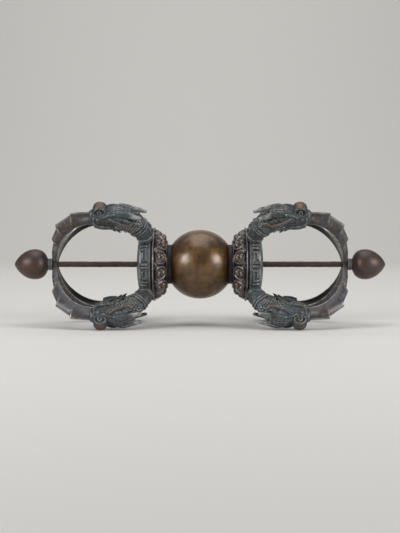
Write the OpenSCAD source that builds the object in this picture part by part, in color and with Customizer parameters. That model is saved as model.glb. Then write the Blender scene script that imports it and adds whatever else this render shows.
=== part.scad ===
// Dorje vajra: a globe at the middle, and at each end a lotus collar, a fret drum
// and four makara heads whose mouths hold the prongs that meet under a bud finial.
// One rod on the X axis ties the whole assembly. Millimetres, +Z up, origin in the globe.

/* [Globe and rod] */
// Diameter of the globe at the middle
globe_d = 31; // [28:0.5:34]
// Diameter of the core rod
rod_d = 2.6; // [2.2:0.1:3]
// Depth of the rod's seat inside each finial
rod_seat = 7.5; // [5:0.5:9]

/* [Seat ring and lotus collar] */
// Outside diameter of the ring that seats the lotus on the globe
seat_d = 17.6; // [16:0.2:19.6]
// Width of the seat ring's visible edge
seat_w = 1.55; // [1.2:0.05:2.2]
// Length of the lotus collar
lotus_len = 6.5; // [5.5:0.1:8]
// Diameter of the lotus collar's wide rim
lotus_d = 33.8; // [32:0.2:36]
// Diameter of the lotus collar's narrow rim beside the globe
lotus_neck_d = 21.6; // [20:0.2:23]
// Width of that narrow rim
lotus_rim = 1; // [0.6:0.1:1.4]
// Number of petals round the lotus collar
petal_count = 12; // [8:1:16]
// Height of a petal above the collar's cone
petal_h = 1.5; // [0.8:0.1:1.8]

/* [Fret drum] */
// Diameter of the fret drum
drum_d = 32.4; // [31:0.2:34]
// Width of the drum's band
drum_w = 3.9; // [3.4:0.1:5]
// Height of the drum's domed end
dome_h = 3.6; // [2.8:0.1:4.4]
// Width of each of the two fillets beside the lotus
fillet_w = 0.5; // [0.3:0.1:0.7]

/* [Makara heads] */
// Reach of a head from the drum's rim to its mouth
head_reach = 21.3; // [19:0.1:23]
// Thickness of the neck where it leaves the drum
neck_t = 5.6; // [4.8:0.1:6]
// Depth of the skull from crown to jaw
skull_t = 9.8; // [8.8:0.2:11]
// Width of the skull across the cheeks
skull_w = 7; // [6.4:0.2:8]
// Depth of the lips round the prong
lip_t = 7.8; // [7.2:0.2:8.6]
// Radius of the rolled snout
roll_r = 3.7; // [3:0.1:4.2]
// Width of the rolled snout
roll_w = 4.8; // [4:0.2:5.6]
// Spread of the two horn tips
horn_spread = 5.2; // [4:0.2:7]
// Diameter of the tenon that fixes a neck in the drum
tenon_d = 3.4; // [2.6:0.1:3.8]
// Length of the tenon
tenon_len = 5; // [4:0.1:6]

/* [Prongs] */
// Number of prongs at each end
prong_count = 4; // [3:1:5]
// Inside radius of the cage at its widest
cage_r = 27; // [25:0.5:30]
// Length of the cage from the drum's rim to the prong tips
cage_len = 39.3; // [37:0.1:42]
// Width of a prong's inner face
prong_w = 4.4; // [3.6:0.1:5]
// Thickness of a prong where it leaves the mouth
prong_t = 5.7; // [5:0.1:6.2]
// Thickness of a prong at its tip
tip_t = 2.2; // [1.8:0.1:2.8]
// Drop behind each thorn of a prong
thorn_step = 1.1; // [0.5:0.1:1.4]
// Length of the tang that a mouth holds
tang_len = 5.5; // [4:0.5:7]
// Height of the tang
tang_h = 3; // [2.4:0.1:3.4]
// Width of the tang
tang_w = 2.6; // [2:0.1:3]

/* [Finials and pins] */
// Length of the collar that gathers the prong tips
collar_len = 1.9; // [1.4:0.1:2.6]
// Diameter of that collar
collar_d = 5.4; // [4.8:0.1:6.4]
// Length of a finial
finial_len = 15.1; // [13:0.1:18]
// Diameter of a finial's bud
finial_d = 13.6; // [12:0.2:16]
// Diameter of the pins that lock tenons and tangs
pin_d = 1.4; // [1:0.1:1.6]

/* [Hidden] */
// Gap between a fitted piece and its seat
fit = 0.05;
$fn = 64;
limb_fn = 6;
hole_fn = 12;
head_sides = 10;
strand_sides = 6;

globe_r = globe_d / 2;
rod_r = rod_d / 2;
bore_r = rod_r + fit;
pin_r = pin_d / 2;
tenon_r = tenon_d / 2;
drum_r = drum_d / 2;

// Stations along the axis, from the middle outwards
x_seat = sqrt(pow(globe_r, 2) - pow(seat_d / 2, 2));
x_lotus = x_seat + seat_w;
x_drum = x_lotus + lotus_len;
x_rim = x_drum + drum_w;
x_mouth = x_rim + head_reach;
x_tip_in = x_rim + cage_len;
x_tip = x_tip_in + tip_t;
x_collar = x_tip + collar_len;

x_neck = x_drum + neck_t / 2 + 4 * fit;
r_tang = cage_r + prong_t / 2;
r_tenon_pin = drum_r - tenon_len + pin_d;
x_tang_pin = x_mouth - tang_len / 2;

// Top of a skull above the axis, half the width across its cheeks, and the raised cuff on a neck
crown_r = r_tang + skull_t / 2;
cheek_y = skull_w / 2;
cuff_h = 0.4;
CUFF_SPAN = [0.29, 0.32, 0.35];

ENDS = ["left", "right"];
PAIRED = ["seat_ring", "lotus_collar", "fret_drum", "tip_collar", "finial", "neck_pins", "mouth_pins"];

// Point at t on the cubic curve with these four control points
function bezier(p, t) =
    pow(1 - t, 3) * p[0] + 3 * pow(1 - t, 2) * t * p[1] + 3 * (1 - t) * t * t * p[2] + pow(t, 3) * p[3];

// Value at t in a list of [t, value] pairs, straight between them
function along(table, t) = lookup(t, table);

function unit(v) = v / norm(v);

// Oval ring across a path in the XZ plane, with half height h in that plane and half width w along Y
function oval_ring(c, dir, h, w, n) = [
    for (i = [0:n - 1])
        let (a = 360 * i / n, up = [-dir[1], dir[0]] * h * cos(a))
            [c[0] + up[0], w * sin(a), c[1] + up[1]]
];

// Closed skin over rings that have the same number of points
module skin(rings) {
    n = len(rings[0]);
    last = len(rings) - 1;
    sides = [
        for (j = [0:last - 1], i = [0:n - 1])
            let (a = j * n + i, b = j * n + (i + 1) % n)
                each [[a, b, b + n], [a, b + n, a + n]]
    ];
    caps = [[for (i = [n - 1:-1:0]) i], [for (i = [0:n - 1]) last * n + i]];
    polyhedron([for (r = rings) each r], concat(sides, caps));
}

// Chain of balls, each a [x, y, z, radius], joined into one tapering limb
module limb(balls) {
    for (i = [0:len(balls) - 2])
        hull() {
            for (b = [balls[i], balls[i + 1]])
                translate([b[0], b[1], b[2]]) sphere(b[3], $fn = limb_fn);
        }
}

// Solid turned about the X axis from [x, radius] points
module turned(points) {
    rotate([90, 0, 90]) rotate_extrude() polygon([for (p = points) [p[1], p[0]]]);
}

// Cylinder along +X from one station to the next
module bar(x0, x1, r) {
    translate([x0, 0, 0]) rotate([0, 90, 0]) cylinder(h = x1 - x0, r = r);
}

// The same piece at every prong's place round the axis
module round_axis() {
    for (i = [1:prong_count]) at_prong(i) children();
}

module at_prong(i) {
    rotate([360 / prong_count * (i - 0.5), 0, 0]) children();
}

// Turns a piece modelled for the right end to the end that is named
module at_end(e) {
    rotate([0, 0, e == "left" ? 180 : 0]) children();
}

module centre_globe() {
    color("#6b4a26") difference() {
        sphere(globe_r);
        bar(-globe_r - 1, globe_r + 1, bore_r);
    }
}

module core_rod() {
    color("#4a3a34") bar(-x_collar - rod_seat, x_collar + rod_seat, rod_r);
}

// Ring that fills the groove between globe and lotus, hollowed to the globe's surface
module seat_ring() {
    bowl_r = globe_r + fit;
    r_in = sqrt(max(pow(bore_r, 2), pow(bowl_r, 2) - pow(x_lotus, 2)));
    steps = 12;
    bowl = [
        for (s = [1:steps])
            let (r = r_in + (seat_d / 2 - r_in) * s / steps)
                [sqrt(pow(bowl_r, 2) - r * r), r]
    ];
    color("#4c4450") turned(concat([[x_lotus, r_in]], bowl, [[x_lotus, seat_d / 2]]));
}

// Lotus cone between two rims, with a ring of raised petals, each a turned drop lying along the cone
module lotus_collar() {
    x_cone = x_lotus + lotus_rim;
    r0 = lotus_neck_d / 2 - petal_h / 3;
    r1 = lotus_d / 2 - petal_h;
    slope = atan2(r1 - r0, x_drum - x_cone);
    slant = norm([x_drum - x_cone, r1 - r0]);
    petal_r = PI * (r1 - petal_h) / petal_count * 0.96;
    drop = [
        for (s = [0:9])
            let (u = s / 9)
                [u * slant, petal_r * sin(180 * pow(u, 1.2)) * (0.6 + 0.4 * u)]
    ];
    color("#3f4248") difference() {
        intersection() {
            union() {
                turned([
                    [x_lotus, 0], [x_lotus, lotus_neck_d / 2], [x_cone, lotus_neck_d / 2], [x_cone, r0],
                    [x_drum - petal_h / 2, r1], [x_drum - petal_h / 2, lotus_d / 2],
                    [x_drum, lotus_d / 2], [x_drum, 0]
                ]);
                for (i = [0:petal_count - 1])
                    rotate([360 / petal_count * (i + 0.5), 0, 0]) translate([x_cone, 0, r0])
                        rotate([0, -slope, 0]) translate([0, 0, petal_h - petal_r]) turned(drop);
            }
            bar(x_lotus + fit, x_drum, lotus_d / 2 + petal_h);
        }
        sphere(globe_r + fit);
        bar(x_lotus - 1, x_drum + 1, bore_r);
    }
}

// Solid of the drum's band and domed end, grown by a gap
module drum_form(gap) {
    dome = [for (s = [0:12]) [x_rim + (dome_h + gap) * sin(90 * s / 12), (drum_r + gap) * cos(90 * s / 12)]];
    turned(concat([[x_drum + fit - gap, 0], [x_drum + fit - gap, drum_r + gap]], dome));
}

// Drum with two fillets beside the lotus, drilled for the necks' tenons and their pins
module fret_drum() {
    groove = 0.3;
    color("#43474d") difference() {
        drum_form(0);
        for (k = [0:1])
            translate([x_drum + fillet_w * (2 * k + 1), 0, 0]) rotate([0, 90, 0])
                rotate_extrude() translate([drum_r - groove, 0]) square([groove + 1, fillet_w]);
        bar(x_drum - 1, x_rim + dome_h + 1, bore_r);
        round_axis() {
            translate([x_neck, 0, drum_r - tenon_len - fit]) cylinder(h = tenon_len + 1, r = tenon_r + fit);
            translate([0, 0, r_tenon_pin]) bar(x_neck - tenon_r - 2 * pin_r, x_rim + dome_h, pin_r + fit);
        }
    }
}

// Centre line of a neck and skull, from the drum's band to the mouth
NECK_LINE = [
    [x_neck, drum_r - 3],
    [x_neck - 0.8, drum_r + 7.8],
    [x_mouth - 13, cage_r + 3.5],
    [x_mouth, r_tang]
];
HEAD_H = [[0, neck_t / 2], [0.25, 3.5], [0.5, 4.2], [0.78, skull_t / 2], [1, lip_t / 2]];
HEAD_W = [[0, neck_t / 2], [0.25, 2.8], [0.5, 3.1], [0.78, skull_w / 2], [1, lip_t / 2 - 1]];

// Ring round the neck and skull at t on their centre line, grown by a rise
function head_ring(t, rise) =
    let (e = 0.01, dir = t == 1 ? [1, 0] : unit(bezier(NECK_LINE, t + e) - bezier(NECK_LINE, t)))
        oval_ring(bezier(NECK_LINE, t), dir, along(HEAD_H, t) + rise, along(HEAD_W, t) + rise, head_sides);

module neck_and_skull() {
    steps = 10;
    skin([for (s = [0:steps]) head_ring(s / steps, 0)]);
    skin([for (t = CUFF_SPAN) head_ring(t, cuff_h)]);
}

// Strand of the carving through rows of [distance behind the mouth, y, z, half depth, half width]
module strand(rows, sides = strand_sides) {
    last = len(rows) - 1;
    spots = [for (r = rows) [x_mouth - r[0], r[2]]];
    skin([
        for (j = [0:last])
            let (r = rows[j], dir = unit(spots[min(j + 1, last)] - spots[max(j - 1, 0)]))
                [for (p = oval_ring(spots[j], dir, r[3], r[4], sides)) p + [0, r[1], 0]]
    ]);
}

// Snout that rises from the upper lip and rolls back on itself
module rolled_snout() {
    strip = 0.8;
    turns = 450;
    steps = 15;
    centre = [x_mouth - roll_r, cage_r + prong_t + 1];
    skin([
        for (s = [0:steps])
            let (u = s / steps, a = -20 + turns * u,
                r = (roll_r - strip) * (1 - 0.72 * u), w = roll_w / 2 * (1 - 0.1 * u))
                oval_ring(centre + r * [cos(a), sin(a)], [-sin(a), cos(a)], strip, w, strand_sides)
    ]);
    translate([centre[0], 0, centre[1]]) rotate([90, 0, 0])
        cylinder(h = roll_w * 0.7, r = roll_r - strip, center = true, $fn = 12);
}

// Crown, mane, jaw and beard on the middle of a head
module ridge_features() {
    strand([
        [5.8, 0, crown_r - 2.5, 1.7, cheek_y - 0.9],
        [9.5, 0, crown_r - 1.8, 1.9, cheek_y - 0.5],
        [13, 0, crown_r - 2.4, 1.9, cheek_y - 0.4],
        [16.2, 0, crown_r - 3.9, 1.5, cheek_y - 0.8],
        [18.6, 0, crown_r - 5.6, 0.9, cheek_y - 1.6]
    ], 8);
    strand([
        [17.2, 0, crown_r - 6.4, 1.3, 1.6],
        [20.2, 0, crown_r - 7.8, 1, 1.2],
        [22.2, 0, crown_r - 10, 0.4, 0.4]
    ]);
    strand([
        [8.4, 0, cage_r - 0.8, 1.6, 2.4],
        [4.5, 0, cage_r - 1.1, 1.3, 2.3],
        [0.9, 0, cage_r - 0.5, 1, 2.1]
    ]);
    limb([
        [x_mouth - 7.6, 0, cage_r - 2.2, 0.9],
        [x_mouth - 9.2, 0, cage_r - 3.8, 0.7],
        [x_mouth - 10, 0, cage_r - 5.1, 0.4]
    ]);
}

// Horn, ear, mane lock, upper lip and eye of the cheek on +Y
module cheek_features() {
    tip_y = horn_spread / 2;
    limb([
        [x_mouth - 9, tip_y - 0.6, crown_r - 2.2, 1.5],
        [x_mouth - 12.6, tip_y, crown_r - 1.4, 1.4],
        [x_mouth - 16.2, tip_y, crown_r - 2.2, 1.1],
        [x_mouth - 20.4, tip_y, crown_r - 3.4, 0.8]
    ]);
    // Swell of the ear, and the raised rim that curls round under it
    strand([
        [7.2, cheek_y - 1.2, crown_r - 3.1, 1.2, 0.9],
        [11.6, cheek_y - 1.2, crown_r - 3.4, 2, 1.5],
        [16, cheek_y - 1.2, crown_r - 3.9, 0.9, 0.6]
    ]);
    strand([
        [6.2, cheek_y - 0.7, crown_r - 1.8, 0.5, 0.9],
        [8.8, cheek_y - 0.2, crown_r - 3.8, 0.6, 1.1],
        [11.6, cheek_y + 0.1, crown_r - 5.2, 0.6, 1.1],
        [14.6, cheek_y + 0.1, crown_r - 6, 0.6, 1.1],
        [16.8, cheek_y, crown_r - 5.6, 0.8, 1]
    ]);
    strand([
        [13.6, cheek_y - 0.1, crown_r - 4.2, 1.2, 0.6],
        [16.8, cheek_y + 0.1, crown_r - 6, 0.8, 0.5],
        [19.4, cheek_y - 0.3, crown_r - 8, 0.3, 0.3]
    ]);
    strand([
        [7, cheek_y - 0.6, cage_r - 0.4, 0.5, 0.8],
        [3.6, cheek_y - 0.4, cage_r + 0.3, 0.5, 0.8],
        [0.9, cheek_y - 0.8, cage_r + 1.3, 0.5, 0.8]
    ]);
    translate([x_mouth - 7.2, cheek_y - 0.5, cage_r + 4]) sphere(1.2, $fn = limb_fn);
}

module makara() {
    color("#474c52") difference() {
        union() {
            neck_and_skull();
            rolled_snout();
            ridge_features();
            for (side = [0, 1]) mirror([0, side, 0]) cheek_features();
            translate([x_neck, 0, drum_r - tenon_len])
                cylinder(h = tenon_len + 2, r = tenon_r, $fn = 2 * hole_fn);
        }
        // Saddle on the drum, round the tenon
        difference() {
            drum_form(fit);
            translate([x_neck, 0, 0]) cylinder(h = drum_r + 1, r = tenon_r, $fn = 2 * hole_fn);
        }
        translate([0, 0, r_tenon_pin]) bar(x_drum, x_rim + dome_h, pin_r + fit, $fn = hole_fn);
        mouth_socket();
    }
}

// Room for a prong's tang and its cross pin, and the face that the prong meets
module mouth_socket() {
    translate([x_mouth - tang_len - fit, -tang_w / 2 - fit, r_tang - tang_h / 2 - fit])
        cube([tang_len + 5, tang_w + 2 * fit, tang_h + 2 * fit]);
    translate([x_mouth - fit, -skull_w, cage_r - skull_t]) cube([4 * roll_r, 2 * skull_w, skull_t + prong_t]);
    cross_pin(pin_r + fit, 3 * skull_w, $fn = hole_fn);
}

module cross_pin(r, length) {
    translate([x_tang_pin, 0, r_tang]) rotate([90, 0, 0]) cylinder(h = length, r = r, center = true);
}

// Angles of a prong's arc where it leaves the mouth and where it has its full width
a_mouth = 90;
a_broad = 45;

// Thickness of a prong at each angle of its arc, with a sudden drop behind each thorn
THORNS = [[70, 1.3], [50, 0.4], [33, -1.7]];
PRONG_T = concat(
    [[0, tip_t], [8, tip_t], [16, tip_t + 0.4]],
    [for (k = [2:-1:0]) each [
        [THORNS[k][0] - 2, prong_t + THORNS[k][1] - thorn_step], [THORNS[k][0], prong_t + THORNS[k][1]]]],
    [[a_mouth, prong_t]]
);

// Prong lofted along an ellipse from the mouth to the rod, with its tang
module prong() {
    a_semi = x_tip_in - x_mouth;
    a_tip = asin((rod_r + 3 * fit) / cage_r);
    turn = [
        a_mouth, 85, 80, 75, 72, 70, 68, 64, 60, 55, 52, 50, 48, 44, 40, 36, 33, 31, 27, 22, 16, 10, a_tip
    ];
    tip_w = 2 * (rod_r + fit) * tan(180 / prong_count) * 0.92;
    half_w = [[0, tip_w / 2], [a_broad, prong_w / 2], [a_mouth, prong_w / 2]];
    section = [[0, 0.8], [0.25, 1], [0.6, 0.86], [1, 0.42]];
    outline = concat([for (p = section) [p[0], -p[1]]], [for (k = [3:-1:0]) section[k]]);
    color("#4b4648") difference() {
        union() {
            skin([
                for (a = turn)
                    let (inner = [x_mouth + a_semi * cos(a), cage_r * sin(a)],
                        out = a == a_tip ? [1, 0] : unit([cos(a) / a_semi, sin(a) / cage_r]),
                        t = along(PRONG_T, a), w = along(half_w, a))
                        [
                            for (p = outline)
                                [inner[0] + out[0] * t * p[0], w * p[1], inner[1] + out[1] * t * p[0]]
                        ]
            ]);
            translate([x_mouth - tang_len, -tang_w / 2, r_tang - tang_h / 2])
                cube([tang_len + 1, tang_w, tang_h]);
        }
        cross_pin(pin_r + fit, 2 * prong_w);
    }
}

module tip_collar() {
    waist = collar_d / 2 - 0.5;
    bead = collar_len / 4;
    color("#5a5e66") difference() {
        turned([
            [x_tip + fit, 0], [x_tip + fit, collar_d / 2], [x_tip + bead, collar_d / 2],
            [x_tip + 2 * bead, waist], [x_collar - bead, waist], [x_collar, collar_d / 2 - 0.2], [x_collar, 0]
        ]);
        bar(x_tip - 1, x_collar + 1, bore_r);
    }
}

// Bud with a blunt point and a narrow foot, with a blind seat for the rod
module finial() {
    foot_r = collar_d / 2 - 0.3;
    bud_r = finial_d / 2;
    point_r = 0.45;
    // Shares of the length where the foot flares, the bud is widest and the nose bends in
    flare = 0.05 * finial_len;
    widest = 0.4 * finial_len;
    bend = [0.66 * finial_len, 0.9 * finial_len];
    bend_r = 0.56 * bud_r;
    foot = [
        for (s = [0:10])
            bezier([[0, foot_r], [flare, foot_r], [flare, bud_r], [widest, bud_r]], s / 10)
    ];
    nose = [
        for (s = [1:12])
            bezier([[widest, bud_r], [bend[0], bud_r], [bend[1], bend_r], [finial_len, point_r]], s / 12)
    ];
    color("#5b4030") difference() {
        translate([x_collar + fit, 0, 0]) turned(concat([[0, 0]], foot, nose, [[finial_len, 0]]));
        bar(x_collar - 1, x_collar + rod_seat + fit, bore_r);
    }
}

// Rivets in the drum's end that cross the tenons of the necks
module neck_pins() {
    x_flush = x_rim + dome_h * sqrt(1 - pow((r_tenon_pin + pin_r) / drum_r, 2)) - 2 * fit;
    color("#3b3a3c") round_axis() translate([0, 0, r_tenon_pin])
        bar(x_neck - tenon_r - pin_r, x_flush, pin_r);
}

// Flush pins through the cheeks that cross the tangs of the prongs
module mouth_pins() {
    color("#3b3a3c") round_axis() cross_pin(pin_r, skull_w - 1);
}

centre_globe();
core_rod();
for (e = ENDS) {
    at_end(e) seat_ring();
    at_end(e) lotus_collar();
    at_end(e) fret_drum();
    at_end(e) tip_collar();
    at_end(e) finial();
    at_end(e) neck_pins();
    at_end(e) mouth_pins();
    for (i = [1:prong_count]) {
        at_end(e) at_prong(i) makara();
        at_end(e) at_prong(i) prong();
    }
}
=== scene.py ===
"""Dorje vajra in aged bronze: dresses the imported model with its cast, chased and rubbed surfaces.

Each sub-assembly is a class that builds its meshes in millimetres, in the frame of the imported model, and
dresses them with a finish. X runs along the core rod, Z is up, and the viewer looks along +Y.
"""

import logging
import math
from dataclasses import dataclass, field
from enum import Enum

import bpy
import numpy as np
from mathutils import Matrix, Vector


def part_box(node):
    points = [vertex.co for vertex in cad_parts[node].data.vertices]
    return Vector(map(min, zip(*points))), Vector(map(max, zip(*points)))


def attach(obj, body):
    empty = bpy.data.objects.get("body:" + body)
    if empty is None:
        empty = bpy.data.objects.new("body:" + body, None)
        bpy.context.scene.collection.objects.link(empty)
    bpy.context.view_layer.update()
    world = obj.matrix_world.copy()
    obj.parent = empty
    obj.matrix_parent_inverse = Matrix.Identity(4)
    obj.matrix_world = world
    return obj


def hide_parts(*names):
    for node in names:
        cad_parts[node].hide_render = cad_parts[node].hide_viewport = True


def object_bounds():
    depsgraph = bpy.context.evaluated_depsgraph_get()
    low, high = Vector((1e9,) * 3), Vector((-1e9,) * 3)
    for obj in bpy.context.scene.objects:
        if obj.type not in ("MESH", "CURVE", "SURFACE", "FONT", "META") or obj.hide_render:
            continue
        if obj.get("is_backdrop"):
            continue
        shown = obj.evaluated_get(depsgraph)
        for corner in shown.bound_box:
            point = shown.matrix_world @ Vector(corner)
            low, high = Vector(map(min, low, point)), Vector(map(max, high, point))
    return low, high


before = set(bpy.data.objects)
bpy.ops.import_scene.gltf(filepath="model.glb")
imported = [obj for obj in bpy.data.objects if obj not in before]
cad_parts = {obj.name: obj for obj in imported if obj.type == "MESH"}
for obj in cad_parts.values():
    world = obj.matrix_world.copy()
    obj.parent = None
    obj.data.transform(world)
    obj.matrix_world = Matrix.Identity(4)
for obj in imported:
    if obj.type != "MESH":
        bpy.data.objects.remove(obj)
CAD_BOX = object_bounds()

MM = 0.001
BODY = "root"
# Gap between fitted faces in millimetres, and the number of heads and prongs at an end
FIT = 0.05
PLACES = 4
LOG = logging.getLogger("vajra")
Array = np.ndarray
Rows = list[list[float]]


class End(Enum):
    """The two ends of the vajra; the left one is the right one turned by half a turn about Z."""

    LEFT = "left"
    RIGHT = "right"

    @property
    def sign(self) -> float:
        """+1 for the right end, -1 for the left."""
        return 1.0 if self is End.RIGHT else -1.0


class Mark(Enum):
    """What a mesh stores at each point for its finish to read."""

    RUBBED_AND_HIGHLIT = "rubbed"
    HOLLOW_DIRT_AND_SHADE = "hollow"
    COPPER = "copper"


def linear(code: str) -> tuple[float, float, float, float]:
    """Turns an sRGB hex colour to linear values.

    Args:
        code: colour such as "#6b4a26".

    Returns:
        Linear red, green and blue, and an alpha of 1.
    """
    parts = [int(code[i:i + 2], 16) / 255 for i in (1, 3, 5)]
    rgb = [p / 12.92 if p <= 0.04045 else ((p + 0.055) / 1.055) ** 2.4 for p in parts]
    return rgb[0], rgb[1], rgb[2], 1.0


def add_node(tree: bpy.types.NodeTree, kind: str, settings: dict, links: dict) -> bpy.types.Node:
    """Adds one shader node with its settings and links.

    Args:
        tree: node tree that takes the node.
        kind: Blender's name for the node.
        settings: properties of the node by name.
        links: inputs by name or number, each with a constant or with the socket that feeds it.

    Returns:
        The new node.
    """
    node = tree.nodes.new(kind)
    for name, value in settings.items():
        setattr(node, name, value)
    for socket, value in links.items():
        if isinstance(value, bpy.types.NodeSocket):
            tree.links.new(value, node.inputs[socket])
        else:
            node.inputs[socket].default_value = value
    return node


def eased(value: Array, low: float, high: float) -> Array:
    """Smooth step from 0 at low to 1 at high."""
    t = np.clip((value - low) / (high - low), 0.0, 1.0)
    return t * t * (3 - 2 * t)


def bump(value: Array, middle: float, breadth: float) -> Array:
    """Rounded hump of height 1 at the middle."""
    return np.exp(-((value - middle) / breadth) ** 2)


def flow(keys: Rows | Array, count: int) -> Array:
    """Smooth curve through rows of values.

    Args:
        keys: rows that the curve passes through, of any width.
        count: number of rows wanted.

    Returns:
        Rows evenly spaced along the keys.
    """
    keys = np.asarray(keys, float)
    padded = np.vstack([2 * keys[0] - keys[1], keys, 2 * keys[-1] - keys[-2]])
    t = np.linspace(0, len(keys) - 1, count)
    i = np.minimum(t.astype(int), len(keys) - 2)
    f = (t - i)[:, None]
    a, b, c, d = padded[i], padded[i + 1], padded[i + 2], padded[i + 3]
    bend = (2 * a - 5 * b + 4 * c - d) * f ** 2 + (3 * b - a - 3 * c + d) * f ** 3
    return 0.5 * (2 * b + (c - a) * f + bend)


def unit_rows(rows: Array) -> Array:
    """Rows scaled to length 1."""
    return rows / np.maximum(np.linalg.norm(rows, axis=-1, keepdims=True), 1e-9)


@dataclass
class Solid:
    """Closed surface in millimetres."""

    points: Array
    faces: list[tuple[int, ...]]

    def outward(self) -> "Solid":
        """Turns every face outwards.

        Returns:
            The solid itself, or one with all its faces reversed.
        """
        volume = 0.0
        for face in self.faces:
            a = self.points[face[0]]
            for k in range(1, len(face) - 1):
                volume += float(np.dot(a, np.cross(self.points[face[k]], self.points[face[k + 1]])))
        return self if volume > 0 else Solid(self.points, [f[::-1] for f in self.faces])

    def mirrored(self) -> "Solid":
        """The surface mirrored across the XZ plane."""
        return Solid(self.points * [1, -1, 1], [f[::-1] for f in self.faces])


def skin(rings: Array, loop: bool = False) -> Solid:
    """Skin over rings that have the same number of points.

    Args:
        rings: array of rings by points by three.
        loop: joins the last ring to the first; otherwise the ends are capped.

    Returns:
        The closed solid.
    """
    count, around, _ = rings.shape
    index = np.arange(count * around).reshape(count, around)
    a = index if loop else index[:-1]
    b = np.roll(index, -1, 0) if loop else index[1:]
    quads = np.stack([a, np.roll(a, -1, 1), np.roll(b, -1, 1), b], -1).reshape(-1, 4)
    faces = [tuple(q) for q in quads.tolist()]
    points = rings.reshape(-1, 3)
    if not loop:
        points = np.vstack([points, rings[0].mean(0), rings[-1].mean(0)])
        first, last = index[0].tolist(), index[-1].tolist()
        for i in range(around):
            j = (i + 1) % around
            faces.append((first[j], first[i], len(points) - 2))
            faces.append((last[i], last[j], len(points) - 1))
    return Solid(points, faces).outward()


def tube(keys: Rows | Array, count: int = 18, sides: int = 14, power: float = 2.0) -> Solid:
    """Limb with round ends along a smooth path.

    Args:
        keys: rows of x, y, z, half height in the XZ plane and half width along Y.
        count: rings along the limb.
        sides: points round a ring.
        power: 2 for an oval section, more for a squarer one.

    Returns:
        The closed limb.
    """
    rows = flow(keys, count)
    path, high, wide = rows[:, :3], np.maximum(rows[:, 3], 0.05), np.maximum(rows[:, 4], 0.05)
    tangent = unit_rows(np.gradient(path, axis=0))
    side = unit_rows(np.array([0.0, 1.0, 0.0]) - tangent * tangent[:, 1:2])
    up = np.cross(tangent, side)
    angle = np.linspace(0, 2 * np.pi, sides, endpoint=False)
    c = np.sign(np.cos(angle)) * np.abs(np.cos(angle)) ** (2 / power)
    s = np.sign(np.sin(angle)) * np.abs(np.sin(angle)) ** (2 / power)
    turns = (1.35, 1.0, 0.5)
    stations = [(0, -math.sin(p), math.cos(p)) for p in turns]
    stations += [(i, 0.0, 1.0) for i in range(count)]
    stations += [(count - 1, math.sin(p), math.cos(p)) for p in reversed(turns)]
    rings = []
    for i, push, scale in stations:
        middle = path[i] + tangent[i] * min(high[i], wide[i]) * push
        rings.append(middle + scale * (np.outer(c * high[i], up[i]) + np.outer(s * wide[i], side[i])))
    return skin(np.array(rings))


def bead(centre: tuple[float, float, float], radii: tuple[float, float, float]) -> Solid:
    """Oval bead.

    Args:
        centre: middle of the bead.
        radii: half sizes along X, Y and Z.

    Returns:
        The closed bead.
    """
    polar = np.linspace(0.12, np.pi - 0.12, 9)[:, None]
    angle = np.linspace(0, 2 * np.pi, 16, endpoint=False)[None, :]
    x = np.cos(polar) + 0 * angle
    rings = np.stack([x, np.sin(polar) * np.sin(angle), np.sin(polar) * np.cos(angle)], -1)
    return skin(rings * radii + np.array(centre))


def hoop(centre: Array, tangent: Array, high: float, wide: float, thick: float) -> Solid:
    """Oval hoop round a limb.

    Args:
        centre: middle of the hoop.
        tangent: direction of the limb, in the XZ plane.
        high: half height of the hoop in the XZ plane.
        wide: half width of the hoop along Y.
        thick: radius of its wire.

    Returns:
        The closed hoop.
    """
    up = np.array([-tangent[2], 0.0, tangent[0]])
    side = np.array([0.0, 1.0, 0.0])
    wire = np.linspace(0, 2 * np.pi, 10, endpoint=False)
    rings = []
    for a in np.linspace(0, 2 * np.pi, 32, endpoint=False):
        reach = math.cos(a) * up * high + math.sin(a) * side * wide
        out = reach / np.linalg.norm(reach)
        rings.append(centre + reach + thick * (np.outer(np.cos(wire), out) + np.outer(np.sin(wire), tangent)))
    return skin(np.array(rings), loop=True)


def lathe(profile: Array, around: int, relief: Array | None = None) -> Solid:
    """Ring turned about the axis from a closed outline, with relief on its surface.

    Args:
        profile: rows of x and radius, the last joined to the first.
        around: points round the axis.
        relief: heights in millimetres by profile row and angle, along the outline's normal.

    Returns:
        The closed ring.
    """
    angle = np.linspace(0, 2 * np.pi, around, endpoint=False)
    x, r = np.repeat(profile[:, :1], around, 1), np.repeat(profile[:, 1:], around, 1)
    if relief is not None:
        step = np.roll(profile, -1, 0) - np.roll(profile, 1, 0)
        normal = unit_rows(np.stack([-step[:, 1], step[:, 0]], 1))
        x, r = x + relief * normal[:, :1], r + relief * normal[:, 1:]
    return skin(np.stack([x, -r * np.sin(angle), r * np.cos(angle)], -1), loop=True)


def smoothed(values: Array, edges: Array, rounds: int) -> Array:
    """Values at mesh points drawn towards the mean of their neighbours.

    Args:
        values: rows of values, one row per point.
        edges: pairs of point numbers.
        rounds: number of half steps taken.

    Returns:
        The smoothed rows.
    """
    ends = np.concatenate([edges[:, 0], edges[:, 1]])
    others = np.concatenate([edges[:, 1], edges[:, 0]])
    size, width = values.shape
    count = np.maximum(np.bincount(ends, minlength=size), 1)[:, None]
    for _ in range(rounds):
        mean = np.stack([np.bincount(ends, values[others, k], size) for k in range(width)], 1) / count
        values = 0.5 * values + 0.5 * mean
    return values


def mesh_arrays(mesh: bpy.types.Mesh) -> tuple[Array, Array, Array]:
    """Reads a mesh into arrays.

    Args:
        mesh: mesh to read.

    Returns:
        Its points, edges and point normals.
    """
    points, normals = np.empty(len(mesh.vertices) * 3), np.empty(len(mesh.vertices) * 3)
    edges = np.empty(len(mesh.edges) * 2, int)
    mesh.vertices.foreach_get("co", points)
    mesh.vertices.foreach_get("normal", normals)
    mesh.edges.foreach_get("vertices", edges)
    return points.reshape(-1, 3), edges.reshape(-1, 2), normals.reshape(-1, 3)


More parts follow.
